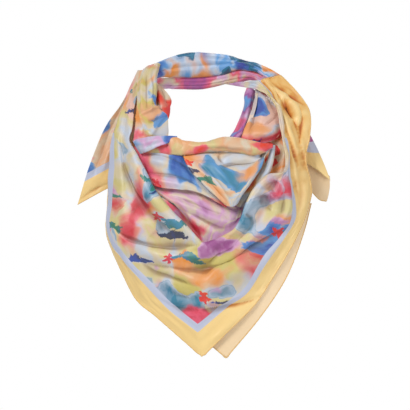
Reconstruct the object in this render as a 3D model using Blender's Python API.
"""Square scarf, folded corner to corner and worn round the neck with its point in front.

The cloth keeps the hollow form that it has on a wearer: a sling of cloth hangs from both
shoulders and carries the point, swags lie inside it, two strands cross behind the nape, and
the two free ends come forward over the shoulders. +X is to the right as seen from the front,
the front faces -Y, +Z is up, and the origin is the nape, on the inside of the neck band.
Tables are in millimetres: x across, z up and f forward of the nape (f = -y).
"""
import math

import bpy
import numpy as np

MM = 0.001
CLOTH = 1.6            # wall of the modelled cloth
SEAM = 0.4             # how far each of two stretches of the same cloth ends short of their seam

YELLOW = (0.81, 0.58, 0.25)
REVERSE = (0.76, 0.62, 0.42)
CREAM = (0.74, 0.62, 0.50)
BLUE = (0.24, 0.47, 0.68)
PINK = (0.72, 0.28, 0.36)
LILAC = (0.60, 0.42, 0.55)
WHITE = (0.70, 0.72, 0.76)
ORANGE = (0.76, 0.44, 0.18)


# ---------------------------------------------------------------- smooth cloth surfaces
def through(rows, places):
    """Catmull-Rom curve through rows of control values, read at places or at even steps."""
    rows = np.asarray(rows, float)
    ends = np.concatenate([[2 * rows[0] - rows[1]], rows, [2 * rows[-1] - rows[-2]]])
    if isinstance(places, int):
        places = np.linspace(0, len(rows) - 1, places)
    place = np.asarray(places, float)
    step = np.minimum(place.astype(int), len(rows) - 2)
    t = (place - step).reshape((-1,) + (1,) * (rows.ndim - 1))
    a, b, c, d = ends[step], ends[step + 1], ends[step + 2], ends[step + 3]
    return b + 0.5 * t * (c - a + t * (2 * a - 5 * b + 4 * c - d + t * (3 * (b - c) + d - a)))


def unit(ways):
    """Vectors brought to length 1."""
    return ways / np.maximum(np.linalg.norm(ways, axis=-1, keepdims=True), 1e-12)


def loft(lines, along, across):
    """Surface through control lines that lie side by side: a grid [across, along] of points."""
    return through(np.stack([through(line, along) for line in lines]), across)


def beside(line, middle, inward, down, back):
    """A line moved toward another one in the view from the front, then down and back."""
    line = np.asarray(line, float)
    way = np.asarray(middle, float) - line
    way[:, 2] = 0
    return line + unit(way) * inward - np.array([0, down, back])


def turned(lines, first=0, last=0):
    """Turns the outer lines of a stretch under, as deep as first and last say.

    Two lines go before and after it: one straight behind the edge, one back under the cloth.
    """
    lines = [np.asarray(line, float) for line in lines]
    before, after = [], []
    behind, under = (0.1, 0.55), (0.7, 1.0)        # shares of the depth: inward, back
    if first:
        for inward, back in (under, behind):
            before.append(beside(lines[0], lines[1], first * inward, 0, first * back))
    if last:
        for inward, back in (behind, under):
            after.append(beside(lines[-1], lines[-2], last * inward, 0, last * back))
    return before + lines + after


def strand(stations, start, stop, along, across):
    """A roll of cloth along stations (upper x, z, lower x, z, f, full, facing).

    Its section is an arc of an ellipse between the two edges. The angle runs from the lower
    edge (0) over the face (90) to the upper edge (180); facing turns the face about +Z.
    """
    table = through(stations, along)[None]
    angle = np.radians(np.linspace(start, stop, across))[:, None]
    middle = (table[..., 0:2] + table[..., 2:4]) / 2
    half = (table[..., 0:2] - table[..., 2:4]) / 2
    f, full, facing = table[..., 4], table[..., 5], np.radians(table[..., 6])
    out = np.sin(angle) * full
    x = middle[..., 0] - half[..., 0] * np.cos(angle) + out * np.sin(facing)
    z = middle[..., 1] - half[..., 1] * np.cos(angle)
    return np.stack([x, z, f + out * np.cos(facing)], axis=2)


def hollow(grid, creases):
    """Presses soft troughs into a surface: rows of (x, z, x, z, x, z, depth, width)."""
    grid = grid.copy()
    for x0, z0, x1, z1, x2, z2, depth, width in creases:
        t = np.linspace(0, 1, 24)[:, None]
        ends = (1 - t) ** 2 * np.array([x0, z0]) + t ** 2 * np.array([x2, z2])
        line = ends + 2 * t * (1 - t) * np.array([x1, z1])
        gap = np.linalg.norm(grid[:, :, None, :2] - line, axis=3)
        fade = np.sin(np.pi * (0.06 + 0.88 * t[:, 0])) ** 0.6
        grid[:, :, 2] -= depth * (np.exp(-(gap / width) ** 2) * fade).max(axis=2)
    return grid


# ---------------------------------------------------------------- closed walls of cloth
def placed(grid):
    """World positions in metres of a grid of (x, z, f) in millimetres."""
    return np.stack([grid[..., 0], -grid[..., 2], grid[..., 1]], axis=-1) * MM


def ways_along(points):
    """Ways along the rows of a grid: each point's halves the corner between its two steps."""
    steps = unit(np.diff(points, axis=0))
    return np.concatenate([steps[:1], steps]) + np.concatenate([steps, steps[-1:]])


def normals(points):
    """Unit normals of a grid of points."""
    across = np.swapaxes(ways_along(np.swapaxes(points, 0, 1)), 0, 1)
    return unit(np.cross(ways_along(points), across))


def finish(name, colour, rough=0.38):
    material = bpy.data.materials.new(name)
    material.use_nodes = True
    shader = material.node_tree.nodes["Principled BSDF"]
    shader.inputs["Base Color"].default_value = (*colour, 1)
    shader.inputs["Roughness"].default_value = rough
    shader.inputs["Metallic"].default_value = 0
    return material


def held_back(sheet, row, inner, hold):
    """Draws an outer row of a sheet toward its neighbour, to leave a seam's gap."""
    sheet[row] += unit(sheet[inner] - sheet[row]) * hold * MM


def wall(name, grid, colour, hold=(0, 0), facing=None):
    """One closed wall of cloth from a grid of (x, z, f); hold draws back its end rows."""
    points = placed(grid)
    half = (normals(points) if facing is None else facing) * CLOTH * MM / 2
    front, back = points + half, points - half
    for sheet in (front, back):
        held_back(sheet, 0, 1, hold[0])
        held_back(sheet, -1, -2, hold[1])
    rows, cols = grid.shape[:2]
    verts = np.concatenate([front.reshape(-1, 3), back.reshape(-1, 3)])
    at = np.arange(rows * cols).reshape(rows, cols)
    quads = np.stack([at[:-1, :-1], at[1:, :-1], at[1:, 1:], at[:-1, 1:]], axis=2).reshape(-1, 4)
    rim = np.concatenate([at[0, :], at[1:, -1], at[-1, -2::-1], at[-2:0:-1, 0]])
    after = np.roll(rim, -1)
    far = rows * cols
    edge = np.stack([after, rim, rim + far, after + far], axis=1)[:, ::-1]
    faces = np.concatenate([quads, quads[:, ::-1] + far, edge])
    mesh = bpy.data.meshes.new(name)
    mesh.from_pydata(verts.tolist(), [], faces.tolist())
    mesh.update()
    mesh.shade_smooth()
    mesh.set_sharp_from_angle(angle=math.radians(60))
    piece = bpy.data.objects.new(name, mesh)
    piece.data.materials.append(finish(name, colour))
    bpy.context.collection.objects.link(piece)
    return piece


# ---------------------------------------------------------------- the sling and its point
# Ribs run across the sling from its inner fold to the hem, left shoulder to right shoulder.
# inner x, z, f | stripe's inner line x, z, f | stripe's outer line x, z, f | hem x, z, f
RIBS = (
    (-105, 6, 48, -117, 6, 45, -119, 4, 40, -116, 2, 34),
    (-111, -15, 64, -124, -14, 60, -126, -17, 54, -122, -20, 46),
    (-117, -40, 88, -136, -38, 80, -138, -42, 72, -133, -46, 64),
    (-121, -76, 112, -149, -78, 98, -151, -81, 90, -145, -88, 80),
    (-125, -97, 122, -149, -103, 106, -156, -104, 98, -148, -108, 84),
    (-113, -126, 136, -150, -128, 112, -158, -129, 102, -150, -134, 86),
    (-98, -155, 150, -152, -163, 114, -161, -164, 103, -154, -168, 86),
    (-80, -190, 162, -154, -200, 116, -162, -201, 106, -158, -204, 90),
    (-58, -212, 170, -157, -236, 118, -162, -238, 110, -163, -246, 98),
    (-38, -231, 176, -150, -262, 124, -152, -272, 118, -151, -284, 108),
    (-20, -249, 180, -124, -294, 140, -124, -310, 134, -134, -322, 122),
    (-8, -261, 182, -91, -328, 154, -91, -347, 148, -111, -362, 136),
    (0, -264, 183, -54, -366, 162, -58, -374, 160, -78, -390, 150),
    (6, -264, 183, -12, -399, 166, -12, -413, 165, -5, -454, 160),
    (14, -261, 183, 28, -368, 164, 32, -376, 162, 40, -410, 158),
    (30, -254, 182, 66, -338, 158, 73, -347, 155, 86, -363, 150),
    (47, -242, 179, 94, -289, 150, 100, -299, 146, 122, -308, 134),
    (58, -225, 174, 124, -256, 140, 131, -258, 136, 146, -265, 122),
    (66, -203, 168, 142, -231, 132, 150, -229, 126, 162, -228, 110),
    (80, -177, 161, 144, -205, 132, 151, -202, 126, 174, -195, 104),
    (104, -154, 154, 141, -178, 136, 146, -175, 130, 175, -170, 104),
    (130, -146, 144, 139, -155, 138, 143, -152, 134, 170, -145, 104),
    (134, -120, 132, 138, -124, 128, 141, -121, 124, 167, -118, 100),
    (128, -92, 122, 133, -95, 117, 137, -92, 112, 173, -92, 94),
    (125, -66, 110, 130, -68, 104, 134, -65, 100, 175, -64, 84),
    (119, -42, 95, 124, -44, 90, 129, -40, 86, 171, -42, 72),
    (108, -25, 80, 116, -27, 76, 121, -22, 73, 158, -21, 62),
    (95, -15, 66, 107, -12, 63, 112, -6, 61, 143, -4, 53),
    (80, -9, 53, 98, -2, 55, 104, 3, 54, 128, 9, 48),
)

# Folds that run along the sling: where they lie between the inner fold (0) and the stripe
# (1), and how far they stand forward: left, lower left, middle, lower right, right.
FOLDS = (
    ((0.10, 0.08, 0.06, 0.12, 0.20), (5, 5, 4, 4, 2)),
    ((0.45, 0.50, 0.22, 0.40, 0.50), (-5, -4, -8, -6, -4)),
    ((0.70, 0.80, 0.50, 0.70, 0.80), (3, 2, 4, 3, 3)),
)
BULGE = 0.30            # how far the print swells forward between the lines, as a share of width
FULL_FOLD = 60          # width from which the folds have their full lift
# The inner fold turns back over itself: outward under the print, and back, at its full size.
VALLEY = (12, 14)
TURN = (10.5, 9.5)
FULL_TURN = 50          # width from which the turn has its full size
NARROWEST = 0.45       # the turn's smallest size, at the shoulders
# Troughs pressed in: start x, z, bend x, z, end x, z, depth, width
TROUGHS = (
    (-95, -318, -45, -350, 20, -352, 6, 9),
    (-78, -306, -45, -330, -18, -338, 5, 8),
    (-70, -370, -10, -376, 95, -356, 8, 9),
    (129, -248, 70, -300, -41, -309, 6, 8),
)
# Where the sling is read: ribs along it, two readings a rib where it is broad, and lines across.
ALONG = np.concatenate([np.arange(0, 5), np.arange(5, 20, 0.5), np.arange(20, 29)])
ACROSS = (0, 1, 2, 2.5, 3, 3.5, 4, 4.5, 5, 5.5, 6, 7, 8)
NARROW = (0, 2, 4, 6, 7, 8)      # the lines across that the narrow columns keep
LEFT_CUT, RIGHT_CUT = 5, 35        # readings at which the columns end and the panel starts
JOIN = np.arange(7, 18.5, 0.5)     # ribs whose inner fold carries the lower swag


def sling_lines():
    """Control lines of the sling: valley, turn, inner fold, folds, stripe lines and hem."""
    ribs = np.array(RIBS, float).reshape(-1, 4, 3)
    share = np.linspace(0, 1, len(ribs))
    inner, stripe = ribs[:, 0], ribs[:, 1]
    width = np.linalg.norm(stripe - inner, axis=1)[:, None]
    outward = (stripe - inner) / width * [1, 1, 0]
    size = np.clip(width / FULL_TURN, NARROWEST, 1)
    lines = [inner + outward * aside * size ** 4 - [0, 0, back] * size
             for aside, back in (VALLEY, TURN)]
    lines.append(inner)
    for places, lifts in FOLDS:
        spots = np.linspace(0, 1, len(places))
        where = np.interp(share, spots, places)[:, None]
        point = inner + (stripe - inner) * where
        swell = BULGE * width * where * (1 - where)
        lift = np.interp(share, spots, lifts)[:, None] * np.minimum(1, width / FULL_FOLD)
        lines.append(point + [0, 0, 1] * (swell + lift))
    lines += [stripe, ribs[:, 2], ribs[:, 3]]
    return lines


def sling(lines):
    grid = hollow(through([through(line, ALONG) for line in lines], ACROSS), TROUGHS)
    grid = np.swapaxes(grid, 0, 1)
    end = len(ALONG) - 1
    cuts = (("left_column", 0, LEFT_CUT, NARROW, YELLOW),
            ("front_panel", LEFT_CUT, RIGHT_CUT, ACROSS, CREAM),
            ("right_column", RIGHT_CUT, end, NARROW, YELLOW))
    for name, first, last, kept, colour in cuts:
        cloth = grid[:, [ACROSS.index(line) for line in kept]]
        facing = normals(placed(cloth))
        hold = (SEAM if first else 0, SEAM if last < end else 0)
        wall(name, cloth[first:last + 1], colour, hold, facing[first:last + 1])


# ---------------------------------------------------------------- the neck band
def band():
    upper = (
        (-100, 24, -92, -2, 40, 8, 50),
        (-76, 35, -74, 9, 20, 11, 34),
        (-41, 48, -40, 9, -4, 13, 16),
        (-5, 51, -5, 10, -13, 13, 0),
        (30, 48, 28, 13, -6, 12, -12),
        (59, 40, 56, 22, 12, 9, -28),
        (88, 31, 84, 19, 34, 7, -45),
        (112, 20, 106, 5, 42, 6, -60),
        (131, 8, 120, -6, 38, 5, -66),
    )
    wall("band_upper_roll", strand(upper, 4, 250, 19, 9), BLUE)
    lower = (
        (-107, 19, -103, 1, 20, 6, 58),
        (-94, 14, -88, -9, 14, 7, 50),
        (-72, 9, -64, -10, 4, 7, 34),
        (-42, 11, -42, -10, -11, 7, 16),
        (-5, 12, -5, -10, -19, 7, 0),
        (28, 15, 28, -3, -12, 7, -12),
        (58, 24, 60, 2, 4, 7, -28),
        (85, 20, 82, 4, 24, 7, -45),
        (106, 14, 102, -10, 34, 6, -55),
        (122, 6, 114, -16, 34, 5, -60),
    )
    wall("band_lower_strand", strand(lower, -40, 184, 19, 7), LILAC)


# ---------------------------------------------------------------- the swags inside the sling
def swags(sling_fold):
    roll = strand((
        (-97, -104, -98, -116, 130, 5, 0),
        (-75, -99, -77, -117, 137, 7, 0),
        (-52, -90, -56, -118, 141, 9, 0),
        (-30, -99, -32, -119, 145, 9, 0),
        (0, -97, 0, -114, 147, 9, 0),
        (25, -91.5, 25, -115, 148, 10, 0),
        (50, -91, 52, -117, 146, 10, 0),
        (75, -96, 78, -121, 141, 9, 0),
        (96, -101, 97, -117, 134, 7, 0),
        (112, -102, 112, -108, 126, 4, 0),
    ), -20, 230, 19, 9)
    wall("cowl_roll", roll, ORANGE, (SEAM, 0))

    lip = through(roll[0], np.arange(6, 18, 1))
    bag = [
        lip,
        lip - [0, 1.5, 3.5],
        ((-34, -124, 148), (-2, -122, 150), (32, -127, 152), (70, -131, 147), (101, -119, 134)),
        ((-24, -144, 158), (6, -148, 167), (37, -155, 171), (68, -152, 164), (92, -142, 148)),
        ((-7, -163, 164), (16, -169, 172), (42, -176, 176), (65, -171, 170), (80, -163, 156)),
        ((14, -184, 168), (28, -189, 174), (45, -193, 176), (58, -189, 172), (68, -180, 162)),
        ((33, -203, 172), (38, -205, 173), (44, -206, 173), (50, -204, 171), (55, -199, 168)),
    ]
    bag = np.swapaxes([through(line, 12) for line in bag], 0, 1)
    bag = np.swapaxes(turned(bag, 7, 7), 0, 1)
    wall("cowl_bag", through(bag, (0, 1, 1.5, 2, 2.5, 3, 3.5, 4, 5, 6)), BLUE, (SEAM, 0))

    middle = (
        ((-121, -106, 112), (-80, -110, 126), (-48, -115.6, 135.3),
         (-20, -140, 144), (10, -168, 150), (36, -198, 156)),
        ((-119, -127, 116), (-80, -128, 138), (-50, -134, 147),
         (-22, -153, 151), (6, -176, 155), (36, -202, 158)),
        ((-113, -148, 124), (-78, -153, 146), (-48, -158, 155),
         (-21, -168, 158), (7, -184, 159), (36, -205, 160)),
        ((-103, -158, 138), (-77, -172, 150), (-47, -176, 158),
         (-19, -179, 161), (9, -191, 161), (35, -207, 161)),
    )
    middle = [through(line, len(JOIN)) for line in middle]
    edge = middle[-1]
    hidden = [beside(edge, middle[-2], inward, 0, back)
              for inward, back in ((1.5, 3.5), (7.4, 6.5), (8, 9.5), (7.4, 12.5))]
    grid = through(middle + hidden[:3], (0, 1, 2, 2.5, 3, 4, 5, 6))
    wall("swag_middle", grid, WHITE, (0, SEAM))

    valley, turn, inner = sling_fold
    lower = [
        hidden[2],
        hidden[3],
        ((-98, -165, 130), (-72, -176, 139), (-45, -180, 147), (-17, -184, 150),
         (12, -196, 150), (40, -208, 150), (58, -206, 148)),
        ((-92, -173, 138), (-60, -188, 150), (-35, -192, 156), (-5, -200, 160),
         (25, -210, 160), (46, -217, 157), (60, -214, 152)),
        ((-86, -180, 141), (-45, -208, 158), (-20, -218, 164), (5, -226, 166),
         (30, -230, 164), (46, -229, 160), (59, -222, 154)),
        inner * [1, 1, 0] + (valley - [0, 0, 6]) * [0, 0, 1] + [0, 4, 0],
        valley + (inner - valley) * [0.12, 0.12, 0] - [0, 0, 4],
        valley,
    ]
    lower = [through(line, len(JOIN)) for line in lower]
    wall("swag_lower", through(lower, (0, 1, 2, 2.5, 3, 3.5, 4, 5, 6, 7)), PINK, (SEAM, 2 * SEAM))

    flap = (
        ((-119, -98, 126), (-100, -93, 138), (-78, -90, 147), (-48, -88, 154)),
        ((-114, -108, 128), (-97, -104, 143), (-76, -98, 151), (-53, -93, 156)),
        ((-107, -118, 130), (-94, -113, 144), (-73, -104, 152), (-55, -99, 156)),
    )
    wall("cowl_flap", loft(turned(flap, 6, 4), 8, 7), WHITE)


# ---------------------------------------------------------------- the sides of the neck
def sides():
    collar = (
        ((-101, 22, 49), (-106, 8, 59), (-109, -15, 74), (-111, -40, 92),
         (-112, -62, 104), (-115, -80, 115), (-117, -98, 120)),
        ((-93, 28, 53), (-95, 10, 65), (-98, -15, 82), (-98, -42, 98),
         (-93, -66, 112), (-92, -82, 123), (-92, -102, 127)),
        ((-85, 26, 51), (-84, 10, 61), (-86, -15, 74), (-83, -40, 90),
         (-66, -58, 100), (-63, -77, 110), (-64, -102, 112)),
    )
    wall("left_collar", loft(turned(collar, 6, 7), 13, 8), CREAM)
    neck = (
        ((-88, 3.5, 47), (-92, -10, 54), (-92, -25, 64), (-88, -42, 76), (-82, -58, 84)),
        ((-83, 2.5, 47), (-77, -10, 58), (-72, -26, 71), (-70, -42, 81), (-70, -60, 86)),
        ((-79, 0.5, 43), (-67, -11, 50), (-57, -28, 60), (-58, -42, 72), (-61, -60, 82)),
    )
    wall("left_neck_fold", loft(turned(neck, 0, 7), 9, 6), PINK)
    pouch = (
        ((84, -12.2, 55.8), (82, -28, 77), (78, -46, 92), (73, -62, 102),
         (67, -78, 110), (62, -92, 114), (60, -104, 112)),
        ((92, -15.2, 55.8), (97, -28, 80), (98, -47, 98), (98, -64, 112),
         (95, -80, 120), (90, -93, 121), (87, -104, 116)),
        ((99, -19.2, 53.8), (112, -33, 70), (120, -47, 83.5), (123, -63, 95.5),
         (124, -78, 102), (119, -91, 106), (108, -100, 106)),
    )
    wall("right_pouch", loft(turned(pouch, 7, 7), 12, 9), PINK)
    inner = (
        ((70, -9, 46), (65, -20, 56), (64, -36, 68), (58, -56, 86),
         (50, -75, 102), (42, -90, 112), (37, -102, 112)),
        ((78, -10, 50), (71, -21, 61), (70, -37, 75), (66, -57, 92),
         (57, -76, 108), (49, -91, 118), (45, -103, 116)),
        ((85, -14, 46), (79, -24, 58), (78, -38, 72), (74, -57, 89),
         (65, -76, 105), (57, -91, 113), (54, -103, 112)),
    )
    wall("right_inner_strand", loft(turned(inner, 6, 6), 10, 7), LILAC)
    slip = (
        ((109, -104, 113), (102, -128, 124), (90, -149, 135),
         (75, -168, 144), (60, -186, 149), (50, -204, 150)),
        ((113, -104, 120), (107, -129, 134), (98, -150, 145),
         (83, -170, 152), (69, -188, 155), (56, -207, 155)),
        ((116, -104, 117), (113, -130, 128), (106, -152, 138),
         (92, -168, 144), (77, -187, 148), (63, -206, 153)),
    )
    wall("right_slip", loft(slip, 10, 5), WHITE)
    gusset = (
        ((110, -88, 95), (108, -106, 99), (104, -122, 112), (102, -140, 122), (100, -158, 130)),
        ((122, -90, 98), (122, -106, 102), (122, -124, 111), (120, -142, 120), (116, -160, 128)),
        ((132, -92, 106), (138, -110, 114), (142, -124, 118), (140, -142, 124), (134, -158, 130)),
    )
    wall("right_gusset", loft(gusset, 7, 4), PINK)


# ---------------------------------------------------------------- back layer and free ends
def back_layer():
    """The other half of the folded square: lines from the neck down to its own hem."""
    lines = (
        ((-114, -108, 94), (-112, -176, 92), (-104, -244, 110), (-124, -262, 108), (-144, -272, 104)),
        ((-92, -110, 106), (-86, -194, 114), (-72, -280, 130), (-96, -308, 126), (-120, -334, 120)),
        ((-55, -112, 118), (-52, -208, 130), (-40, -310, 147), (-62, -346, 143), (-80, -376, 139)),
        ((-15, -114, 125), (-10, -214, 137), (0, -322, 153), (-10, -365, 151), (-24, -408, 149)),
        ((20, -114, 126), (25, -216, 137), (30, -325, 153), (32, -385, 152), (35, -455, 151)),
        ((52, -116, 123), (56, -210, 133), (55, -312, 149), (72, -352, 147), (91, -388, 143)),
        ((80, -114, 108), (86, -196, 120), (80, -280, 141), (106, -300, 135), (135, -322, 125)),
        ((98, -112, 94), (108, -178, 106), (100, -246, 133), (130, -250, 123), (162, -252, 109)),
        ((110, -108, 84), (122, -160, 96), (114, -200, 124), (142, -200, 111), (176, -200, 95)),
    )
    lines = np.swapaxes(np.array(lines, float), 0, 1)
    wall("back_layer", loft(lines, 17, (0, 0.5, 1, 1.5, 2, 2.5, 3, 4)), REVERSE)


def free_ends():
    left = (
        ((-109.5, 18, 22), (-121, -4, 34), (-138, -34, 48), (-155, -58, 62), (-168, -79, 68),
         (-180, -107, 72), (-193, -142, 74), (-203, -175, 74), (-211, -202, 72)),
        ((-106.5, 10, 20.5), (-113, -8, 30), (-124, -34, 44), (-134, -58, 56), (-146, -80, 66),
         (-156, -108, 72), (-168, -140, 76), (-176, -168, 76), (-186, -188, 75)),
        ((-103, 3.5, 20), (-104, -12, 28), (-104, -34, 40), (-106, -58, 52), (-108, -80, 64),
         (-114, -106, 72), (-138, -134, 76), (-146, -158, 75), (-150, -169, 74)),
    )
    wall("left_tail", loft(left, 14, 6), YELLOW)
    right = [
        ((116, -1, 33.5), (124, 4, 35.5), (130, 5, 33.5)),
        ((126, -22, 40), (136, -22, 42), (144, -22, 40)),
        ((140, -44, 48), (150, -46, 50), (160, -48, 48)),
        ((150, -70, 56), (162, -72, 59), (168, -74, 57)),
        ((156, -90, 60), (168, -92, 64), (177, -91, 61)),
        ((160, -110, 64), (176, -112, 68), (187, -111, 65)),
        ((163, -122, 67), (182, -128, 71), (197, -134, 68)),
        ((166, -131, 69), (186, -143, 73), (207, -160, 71)),
    ]
    fold = np.array(right[-1], float)
    bend = [fold + [0, up, -back] for up, back in ((-0.5, 3), (3, 4.5), (3.5, 7), (3, 9.5))]
    wall("right_tail", loft(right + bend[:3], 5, 12), YELLOW, (0, SEAM))
    end = bend[2:] + [
        ((168, -150, 58), (188, -162, 61), (207, -172, 59)),
        ((173, -168, 58), (190, -178, 61), (205, -186, 59)),
        ((178, -182, 58), (190, -194, 60), (202, -197, 58)),
    ]
    wall("right_tail_end", loft(end, 5, 7), REVERSE, (SEAM, 0))


for thing in list(bpy.data.objects):
    bpy.data.objects.remove(thing)

lines = sling_lines()
sling(lines)
band()
swags([through(line, JOIN) for line in lines[:3]])
sides()
back_layer()
free_ends()
